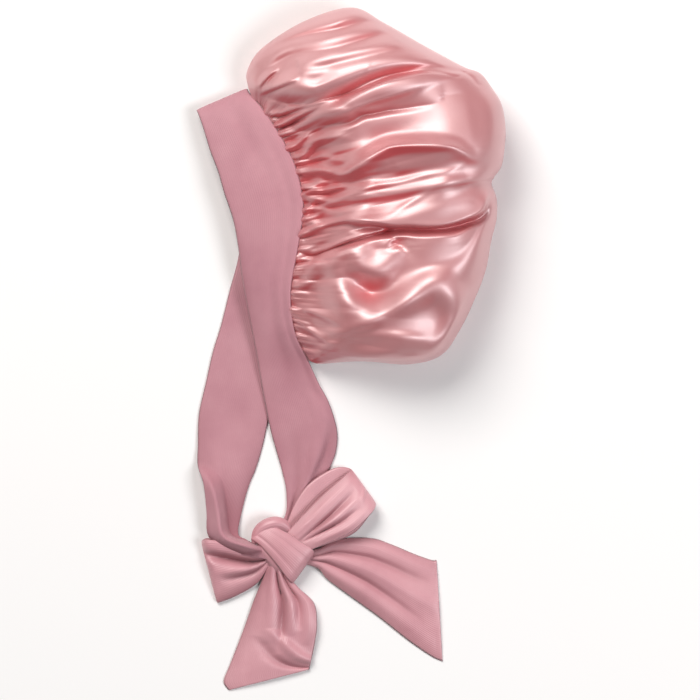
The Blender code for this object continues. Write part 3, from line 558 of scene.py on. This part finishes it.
def makeCrown():
    # A loft over the sections: the top runs from the seam to the rim, the underside back to the far
    # seam. The top's height is crownBody plus puffs, gathers and folds, and a puff is
    # puff * sin^2(pi * d / reach) at a distance d from the seam.
    # Places along the seam are spread so that the cloth's middle line has nearly equal steps.
    dense = np.linspace(0, 1, 900)
    sections = columnsAt(sectionRows, sectionNames, dense)
    centreX = mix(sections["seamX"], sections["rimX"], 0.55)
    centreY = mix(sections["seamY"], sections["rimY"], 0.55)
    travelled = np.concatenate([[0], np.cumsum(np.hypot(np.diff(centreX), np.diff(centreY)))])
    travelled = travelled / travelled[-1] + 0.35 * dense
    along = np.interp(np.linspace(0, travelled[-1], crown["steps"] + 1), travelled, dense)[:, None]
    sections = columnsAt(sectionRows, sectionNames, along)

    line = np.linspace(0, 1, crown["topSteps"] + 1)
    top = mix(line, (1 - np.cos(pi * line)) / 2, 0.75)[None, :]
    seam = np.stack([sections["seamX"], sections["seamY"]], -1)
    rim = np.stack([sections["rimX"], sections["rimY"]], -1)
    far = np.stack([sections["farX"], sections["farY"]], -1)
    reach = np.linalg.norm(rim - seam, axis=-1)
    seamSteps = np.linalg.norm(np.diff(seam[:, 0], axis=0), axis=-1)
    seamLength = np.concatenate([[0], np.cumsum(seamSteps)])[:, None]
    distance = top * reach

    plan = mix(seam, rim, top[..., None])
    height = crownBody(sections, top)
    ends = np.sin(pi * along) ** 0.4
    uneven = 0.6 * np.sin(seamLength / 7.3) + 0.4 * np.sin(seamLength / 2.9 + 1)
    puffReach = crown["puffReach"] * (1 + 0.35 * np.sin(seamLength / 5.1 + 2) + 0.2 * uneven)
    puff = crown["puff"] * (1 + 0.7 * uneven) * np.sin(pi * np.clip(distance / puffReach, 0, 1)) ** 2
    gather = gatherField(seamLength, distance)
    height = height + (puff + gather) * ends * ease((1 - top) / 0.15)

    # the folds settle to nothing at the seam and at the rim
    foldHeight, lean = foldField(plan, crownFolds)
    settle = ease(distance / 6) * ease((1 - top) / 0.07)
    lowerLobe = ease((crown["lobeTop"] - plan[..., 1]) / crown["lobeBlend"])
    foldHeight = mix(foldHeight, smoothed(foldHeight, crown["lobePasses"]), lowerLobe)
    height = height + foldHeight * settle

    # Painted shade: the base colour is deepened to red in the valleys, under the crests and on slopes away
    # from the lamp, where the folds light each other, and most of all in the middle, where the real folds
    # are deeper than these.
    surface = np.concatenate([plan, height[..., None]], -1)
    paintedShadeShare = paintedShadePlaces(surface, crown["paintedShadePasses"], crown["paintedShadeDepth"])
    paintedShadeMiddle = (
        ease((crown["paintedShadeTo"] - plan[..., 1]) / 40) * ease((plan[..., 1] - crown["paintedShadeFrom"]) / 30))
    paintedShadeAmount = ease((1.2 + crown["paintedShadeGain"] * paintedShadeMiddle) * paintedShadeShare)
    valley = crown["paintedShadeMost"] * paintedShadeAmount * ease((0.95 - top) / 0.1)
    plan = plan + lean * settle[..., None]

    # the raw edge goes under the band, and the puffs of the gathers stand a little over the band's edge
    backward = (seam - rim) / np.maximum(reach, 1)[..., None]
    beside = np.exp(-((distance - 5) / 5) ** 2)
    scallop = crown["scallop"] * beside * np.clip(0.7 + 0.45 * gather, 0, 2) * ends
    tuck = 1 - ease(distance / 4)
    plan = plan + backward * (scallop + crown["tuck"] * tuck * ends)[..., None]
    height = height - crown["tuck"] * tuck

    # the underside lies flat and turns up to the rim as 1 - sqrt(1 - lift^3)
    turn = pi / 2 * np.arange(1, crown["underSteps"] + 1) / crown["underSteps"]
    under = (1 - np.sin(turn) ** 2)[None, :]
    underPlan = mix(far, rim, under[..., None])
    lift = np.clip((under - crown["flatShare"]) / (1 - crown["flatShare"]), 0, 1)
    underHeight = crown["underLift"] + sections["rimZ"] * (1 - np.sqrt(1 - lift**3))
    points = np.concatenate([
        np.concatenate([plan, height[..., None]], -1),
        np.concatenate([underPlan, underHeight[..., None]], -1),
    ], axis=1)
    paintedShades = np.concatenate([valley, 0 * underPlan[..., 0]], axis=1)
    return clothObject("satinCrown", points, crown["wall"], -1, satin, paintedShades)


crownPiece = makeCrown()
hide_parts("crown")
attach(crownPiece, "root")
print("crown made")


# Jersey strips: the band with its ties, the loops and the tails. A crease is its share of the width at
# its start and end, its share of the length at both, its depth and its width. A ridge starts with the
# same five and ends with its shares of the width on the left and on the right.
stripNames = ("leftX", "leftY", "leftZ", "rightX", "rightY", "rightZ", "swell")
stripPaintedShade = dict(passes=200, depth=7)


def stripPoints(piece):
    # Rows are lofted smoothly. Across a row the height is the straight line between its edges plus
    # swell * 4a(1 - a). A crease adds depth * sin(pi t)^0.85 * exp(-((a - centre) / width)^2), and a
    # ridge adds a tent of height depth that falls over its share on the left and on the right. It
    # grows over the first 0.35 of its run, and fades over 0.3 of it beyond the end.
    along = np.linspace(0, 1, piece["alongSteps"] + 1)[:, None]
    across = np.linspace(0, 1, piece["acrossSteps"] + 1)[None, :]
    rows = columnsAt(piece["rows"], stripNames, along)
    left = np.stack([rows["leftX"], rows["leftY"], rows["leftZ"]], -1)
    right = np.stack([rows["rightX"], rows["rightY"], rows["rightZ"]], -1)
    points = mix(left, right, across[..., None])
    points[..., 2] += rows["swell"] * 4 * across * (1 - across)
    for start, end, first, last, depth, width in piece["creases"]:
        t = np.clip((along - first) / (last - first), 0, 1)
        centre = mix(start, end, t)
        points[..., 2] += depth * np.sin(pi * t) ** 0.85 * np.exp(-(((across - centre) / width) ** 2))
    for start, end, first, last, depth, leftShare, rightShare in piece.get("ridges", ()):
        t = (along - first) / (last - first)
        aside = across - mix(start, end, np.clip(t, 0, 1))
        tent = 1 - np.clip(np.abs(aside) / np.where(aside < 0, leftShare, rightShare), 0, 1)
        points[..., 2] += depth * ease(t / 0.35) * (1 - ease((t - 1) / 0.3)) * tent
    return points


def stripObject(name, piece, material):
    points = stripPoints(piece)
    # painted shade for the strips: deeper in folds and on slopes that face away from the lamp
    valley = paintedShadePlaces(points, stripPaintedShade["passes"], stripPaintedShade["depth"])
    return clothObject(name, points, piece["wall"], piece["outward"], material, valley)


def makeStrip(name, piece, material, nodes):
    item = stripObject(name, piece, material)
    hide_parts(*nodes)
    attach(item, "root")


# One strip: up the near tie from the knot, along the near band to the forehead, over the fold there,
# and back along the far band into the far tie. Left is the free edge, right the seam with the crown.
band = dict(
    alongSteps=420, acrossSteps=34, wall=2.2, outward=-1, flat=(0.076, 0.96), held="folded",
    rows=(
        (-84, -184, 8.0, -57, -187, 8.0, 1.0),
        (-66, -168, 3.0, -47, -167, 3.0, 0.6),
        (-64, -144, 2.2, -34, -144, 2.2, 0.8),
        (-68, -123, 2.0, -22, -122, 2.0, 1.2),
        (-74, -102, 2.4, -14, -102, 2.2, 1.5),
        (-80, -80, 4.2, -13, -80, 3.2, 1.5),
        (-86, -51, 5.8, -21, -53, 6.2, 1.2),
        (-90, -28, 8.4, -31, -34, 9.0, 0.8),
        (-94, -3, 11.4, -41, -12, 13.4, 0.4),
        (-101, 33, 16, -55, 18, 25, 0.6),
        (-108, 72, 22, -59, 58, 34, 0.6),
        (-112, 103, 27, -52, 100, 37.6, 0.6),
        (-117, 130, 30, -46, 143, 38.2, 0.6),
        (-126, 157, 30, -53, 180, 36.2, 0.6),
        (-132, 178, 28, -64, 205, 33.2, 0.6),
        (-140, 199, 25, -77, 227, 30.4, 0.4),
        (-147, 222, 22, -90, 245, 26.2, 0.2),
        (-152, 236, 18, -100, 257, 19, 0),
        (-154, 240, 10, -103, 262, 10, 0),
        (-151, 234, 2.4, -100, 255, 2.4, 0),
        (-144, 213, 1.3, -86, 239, 1.3, 0),
        (-135, 193, 1.3, -72, 221, 1.3, 0),
        (-127, 173, 1.3, -58, 199, 1.3, 0),
        (-119, 154, 1.3, -47, 173, 1.3, 0),
        (-111, 124, 1.3, -39, 140, 1.3, 0),
        (-112, 95, 1.3, -43, 99, 1.3, 0),
        (-121, 60, 1.3, -51, 60, 1.3, 0),
        (-130, 24, 1.3, -58, 27, 1.3, 0),
        (-138, -2, 1.4, -63, 4, 1.4, 0),
        (-145, -33, 1.6, -70, -30, 1.6, 0.2),
        (-152, -65, 1.8, -81, -67, 1.8, 0.5),
        (-153, -96, 3.0, -87, -94, 1.6, 2.0),
        (-153, -116, 5.5, -94, -118, 1.6, 2.4),
        (-147, -134, 9.0, -102, -138, 1.8, 2.0),
        (-144, -162, 10.0, -109, -164, 2.6, 0.6),
        (-142, -187, 10.6, -112, -184, 6.5, 0),
        (-122, -202, 11.6, -104, -190, 12.0, 0),
        (-102, -207, 13.6, -92, -196, 14.6, 0),
        (-82, -210, 15.0, -80, -200, 15.0, 0),
    ),
    creases=(
        # near tie: lengthwise folds, then the band's soft hollows, then the far tie
        (0.25, 0.35, 0.00, 0.14, -1.6, 0.10),
        (0.70, 0.60, 0.01, 0.16, 1.4, 0.10),
        (0.80, 0.88, 0.05, 0.22, -1.2, 0.07),
        (0.45, 0.75, 0.16, 0.36, -1.6, 0.14),
        (0.62, 0.55, 0.30, 0.48, -1.4, 0.12),
        (0.86, 0.80, 0.18, 0.40, -1.2, 0.06),
        (0.30, 0.40, 0.76, 0.97, 1.2, 0.10),
    ),
    ridges=(
        # the far tie folds along a slanting ridge, the near tie has a folded strip beside its seam
        (-0.02, 0.70, 0.835, 0.955, 16.0, 0.55, 0.24),
        (0.40, 0.85, 0.02, 0.14, 3.2, 0.20, 0.10),
    ),
)
makeStrip("bandAndTies", band, bandJersey, ("band", "near_tie", "far_tie"))

rightLoop = dict(
    alongSteps=120, acrossSteps=40, wall=2.0, outward=-1, flat=(0.076, 0.13), held="folded",
    rows=(
        (-45, -202, 7.4, -66, -184, 7.4, -0.4),
        (-20, -194, 5.9, -57, -158, 8.0, -0.8),
        (4, -184, 4.7, -42, -135, 8.5, -0.8),
        (19, -167, 4.6, -17, -119, 7.0, -0.2),
        (26, -155, 10.0, 0, -119, 6.6, 0.6),
        (22, -163, 20.0, -6, -126, 11.0, 2.0),
        (3, -181, 22.0, -28, -145, 13.0, 3.2),
        (-20, -192, 20.0, -48, -166, 15.0, 2.4),
        (-43, -202, 17.0, -64, -184, 17.0, 1.0),
    ),
    creases=(
        (0.60, 0.46, 0.62, 1.00, -5.0, 0.07),
        (0.26, 0.40, 0.66, 1.00, -4.0, 0.05),
        (0.82, 0.74, 0.58, 1.00, 2.2, 0.08),
        (0.42, 0.44, 0.60, 0.98, 2.4, 0.07),
        (0.10, 0.16, 0.60, 0.95, 1.6, 0.06),
        (0.55, 0.30, 0.50, 0.66, 1.6, 0.05),
    ),
)
makeStrip("rightLoop", rightLoop, paintedLighterBowJersey, ("right_loop",))

leftLoop = dict(
    alongSteps=110, acrossSteps=40, wall=1.8, outward=1, flat=(0.072, 0.11), held="folded",
    rows=(
        (-88, -206, 2.6, -82, -214, 2.6, 0),
        (-105, -198, 1.8, -94, -233, 1.7, 0),
        (-124, -192, 1.4, -113, -246, 1.4, 0),
        (-143, -189, 1.6, -128, -252, 1.6, 0),
        (-149, -192, 7.0, -133, -254, 2.6, 1.2),
        (-143, -190, 15.6, -129, -253, 3.6, 2.6),
        (-124, -192, 15.0, -112, -246, 3.8, 2.6),
        (-105, -198, 12.6, -93, -234, 4.6, 1.8),
        (-86, -206, 10.4, -80, -214, 8.6, 0.4),
    ),
    creases=(
        (0.20, 0.50, 0.52, 1.04, -9.0, 0.08),
        (0.66, 0.72, 0.66, 1.00, -3.0, 0.07),
        (0.52, 0.62, 0.60, 1.00, 2.6, 0.08),
    ),
)
makeStrip("leftLoop", leftLoop, paintedLighterBowJersey, ("left_loop",))

lowerTail = dict(
    alongSteps=130, acrossSteps=44, wall=2.0, outward=1, flat=(0.076, 0.118), held="laid",
    rows=(
        (-66, -222, 12.0, -80, -210, 10.0, 2.0),
        (-52, -238, 9.0, -88, -230, 4.0, 4.0),
        (-36, -254, 8.0, -97, -252, 2.4, 5.4),
        (-33, -275, 9.0, -105, -275, 2.0, 3.6),
        (-35, -293, 7.0, -112, -294, 1.6, 2.6),
        (-38, -308, 5.0, -121, -317, 1.4, 2.4),
        (-40, -317, 3.6, -127, -333, 1.3, 1.8),
        (-41, -321, 3.0, -122, -342, 1.3, 1.4),
    ),
    creases=(
        (0.60, 0.44, -0.10, 0.66, -6.4, 0.06),
        (0.32, 0.24, -0.10, 0.48, -5.0, 0.05),
        (0.80, 0.64, -0.10, 0.58, 3.0, 0.09),
        (0.48, 0.34, -0.10, 0.52, 3.4, 0.06),
        (0.10, 0.12, 0.10, 0.60, 2.4, 0.07),
        (0.64, -0.14, 0.46, 0.84, 4.4, 0.10),
        (0.80, -0.06, 0.52, 0.96, -3.4, 0.09),
    ),
)
makeStrip("lowerTail", lowerTail, paintedLighterBowJersey, ("lower_tail",))

rightTail = dict(
    alongSteps=130, acrossSteps=44, wall=2.0, outward=-1, flat=(0.076, 0.138), held="laid",
    rows=(
        (-58, -203, 8.0, -56, -213, 8.0, 0.8),
        (-34, -200, 6.4, -33, -219, 5.6, 2.0),
        (-11, -190, 3.4, -22, -231, 3.6, 4.6),
        (21, -189, 1.8, 8, -253, 3.0, 5.2),
        (41, -195, 1.6, 30, -269, 2.8, 4.6),
        (65, -205, 1.4, 59, -292, 2.4, 3.6),
        (82, -211, 1.3, 82, -308, 1.5, 3.0),
        (87, -211, 1.3, 93, -313, 1.3, 2.4),
    ),
    creases=(
        (0.36, 0.24, 0.05, 0.85, -3.4, 0.05),
        (0.62, 0.68, 0.05, 0.80, -3.4, 0.05),
        (0.48, 0.46, 0.05, 0.98, 2.6, 0.08),
        (0.80, 0.84, 0.08, 0.90, 2.0, 0.08),
        (0.14, 0.10, 0.10, 0.90, 1.8, 0.06),
    ),
)
makeStrip("rightTail", rightTail, paintedLighterBowJersey, ("right_tail",))
print("strips made")


def bundlePiece(name, piece, material):
    # A bundle of wound cloth. Along its centre line the half width and height follow the rows, closed
    # to a point at both ends. Round a section the radius is 1 + depth * (|cos(count * angle / 2
    # + twist * s + 0.4)| - 0.64), which is even on average, so creases run along it and twist. The
    # underside is held flat at 0.8 of the half height.
    along = np.linspace(0, 1, piece["alongSteps"] + 1)[:, None]
    angle = np.linspace(0, 2 * pi, piece["roundSteps"] + 1)[None, :]
    rows = columnsAt(piece["rows"], ("x", "y", "z", "halfWidth", "halfHeight"), along)
    path = np.stack([rows["x"], rows["y"]], -1)
    tangent = np.gradient(path[:, 0], axis=0)
    tangent = tangent / np.linalg.norm(tangent, axis=-1, keepdims=True)
    sideways = np.stack([-tangent[:, 1], tangent[:, 0]], -1)[:, None, :]
    closing = np.sqrt(np.clip(1 - np.abs(2 * along - 1) ** piece["endSquareness"], 0, 1))
    wave = np.abs(np.cos(piece["count"] * angle / 2 + piece["twist"] * along + 0.4)) - 0.64
    radius = (1 + piece["depth"] * wave) * closing
    plan = path + sideways * (np.cos(angle) * radius * rows["halfWidth"])[..., None]
    height = rows["z"] + np.maximum(np.sin(angle), -0.8) * radius * rows["halfHeight"]
    points = np.concatenate([plan, height[..., None]], -1) * mm
    count, columns = points.shape[0], points.shape[1] - 1
    index = np.arange(count * columns).reshape(count, columns)
    ring = np.concatenate([index, index[:, :1]], axis=1)
    faces = np.stack([ring[:-1, :-1], ring[1:, :-1], ring[1:, 1:], ring[:-1, 1:]], -1).reshape(-1, 4)
    mesh = bpy.data.meshes.new(name)
    mesh.from_pydata(points[:, :-1].reshape(-1, 3).tolist(), [], faces.tolist())

    # cloth coordinates in centimetres, round the bundle and along it
    clothAcross = np.broadcast_to(angle[:, :-1] / (2 * pi) * piece["girth"] / 10, (count, columns))
    clothAlong = np.broadcast_to(along * piece["length"] / 10, (count, columns))
    addLayers(mesh, faces, {
        "cloth": np.stack([clothAcross, clothAlong], -1).reshape(-1, 2),
        "share": np.full((count * columns, 2), 0.5)})
    work = bmesh.new()
    work.from_mesh(mesh)
    bmesh.ops.remove_doubles(work, verts=work.verts, dist=1e-5)
    bmesh.ops.recalc_face_normals(work, faces=work.faces)
    work.to_mesh(mesh)
    work.free()
    return finishedPiece(name, mesh, material)


knotWrap = dict(
    # the wound core under the outer turn
    core=dict(
        alongSteps=70, roundSteps=96, endSquareness=3.5, count=5, twist=0.9, depth=0.06,
        girth=90, length=66,
        rows=(
            (-92, -190, 10.0, 9, 8),
            (-84, -195, 10.0, 12, 8.6),
            (-72, -204, 10.0, 15, 9.0),
            (-62, -213, 10.0, 16, 9.0),
            (-50, -222, 9.4, 15, 8.4),
        ),
    ),
    # the rolled turn that shows behind it
    roll=dict(
        alongSteps=60, roundSteps=64, endSquareness=4, count=3, twist=1.6, depth=0.10, girth=44, length=50,
        rows=(
            (-97, -196, 10.0, 4.5, 6),
            (-92, -183, 12.0, 6.0, 7),
            (-82, -176, 13.4, 7.6, 8),
            (-70, -175, 13.4, 7.6, 8),
            (-58, -183, 12.0, 5.5, 6),
        ),
    ),
    # the outer turn: a flat band whose edges stay crisp
    turn=dict(
        alongSteps=90, acrossSteps=30, wall=1.8, outward=1, creases=(
            (0.30, 0.24, 0.00, 0.80, -0.8, 0.06),
            (0.72, 0.66, 0.20, 1.10, -0.7, 0.06),
        ),
        rows=(
            (-97, -193, 4.0, -83, -175, 6.0, 0.0),
            (-99, -190, 14.0, -84, -173, 15.0, 1.6),
            (-90, -196, 18.0, -75, -177, 19.0, 2.6),
            (-80, -207, 19.4, -61, -184, 20.4, 3.0),
            (-71, -218, 19.4, -49, -192, 20.0, 2.8),
            (-63, -229, 17.4, -38, -199, 17.6, 2.2),
            (-58, -234, 11.0, -36, -204, 11.0, 1.2),
            (-60, -231, 4.0, -40, -207, 4.0, 0.0),
        ),
    ),
)
knotPiece = bundlePiece("knotWrap", knotWrap["core"], paintedLighterBowJersey)
outerTurn = stripObject("outerTurn", knotWrap["turn"], paintedLighterBowJersey)
rolledTurn = bundlePiece("rolledTurn", knotWrap["roll"], paintedLighterBowJersey)
knotParts = [knotPiece, outerTurn, rolledTurn]
with bpy.context.temp_override(
        active_object=knotPiece, object=knotPiece, selected_objects=knotParts,
        selected_editable_objects=knotParts):
    bpy.ops.object.join()
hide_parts("knot_wrap")
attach(knotPiece, "root")
print("knot made")


# Table, soft boxes and camera, in metres. picture is the width that shows at focusHeight.
studio = dict(
    lens=300, sensor=36, picture=0.70, focusHeight=0.03, aim=(0.0, 0.1, 0.05),
    keyPlace=(-1.4, 2.5, 3.1), keySize=2.4, keyPower=160.0, keyColour="fffaf6",
    fillPlace=(2.2, -0.7, 2.9), fillSize=1.6, fillPower=66.0, fillColour="fdfdff",
    world=0.13, tableHalf=4, tableColour="fafafa",
)
half = studio["tableHalf"]
tableMesh = bpy.data.meshes.new("paleTable")
tableMesh.from_pydata(
    [(-half, -half, 0), (half, -half, 0), (half, half, 0), (-half, half, 0)], [], [(0, 1, 2, 3)])
table = bpy.data.objects.new("paleTable", tableMesh)
bpy.context.scene.collection.objects.link(table)
tableMaterial = bpy.data.materials.new("paintedTable")
tableMaterial.use_nodes = True
setSockets(tableMaterial.node_tree.nodes["Principled BSDF"], {
    "Base Color": linearColour(studio["tableColour"]), "Roughness": 0.8, "Specular IOR Level": 0.2})
tableMesh.materials.append(tableMaterial)


def softLight(kind):
    # a square soft box at its place, turned so that it faces the middle of the bonnet
    place = studio[kind + "Place"]
    light = bpy.data.lights.new(kind + "Light", "AREA")
    light.energy = studio[kind + "Power"]
    light.size = studio[kind + "Size"]
    light.color = linearColour(studio[kind + "Colour"])[:3]
    item = bpy.data.objects.new(kind + "Light", light)
    bpy.context.scene.collection.objects.link(item)
    away = np.array(place) - np.array(studio["aim"])
    away = away / np.linalg.norm(away)
    item.location = place
    item.rotation_euler = (np.arccos(away[2]), 0, np.arctan2(away[1], away[0]) + pi / 2)


softLight("key")
softLight("fill")
world = bpy.data.worlds.new("studioWorld")
world.use_nodes = True
world.node_tree.nodes["Background"].inputs["Color"].default_value = (1, 1, 1, 1)
world.node_tree.nodes["Background"].inputs["Strength"].default_value = studio["world"]
bpy.context.scene.world = world
bpy.context.scene.view_settings.view_transform = "Standard"

# straight above, as far away as the lens needs to show picture at focusHeight
cameraData = bpy.data.cameras.new("topCamera")
cameraData.lens = studio["lens"]
cameraData.sensor_width = studio["sensor"]
cameraData.clip_end = 100
camera = bpy.data.objects.new("topCamera", cameraData)
camera.location = (0, 0, studio["focusHeight"] + studio["picture"] * studio["lens"] / studio["sensor"])
bpy.context.scene.collection.objects.link(camera)
bpy.context.scene.camera = camera
print("studio made")

bpy.context.view_layer.update()
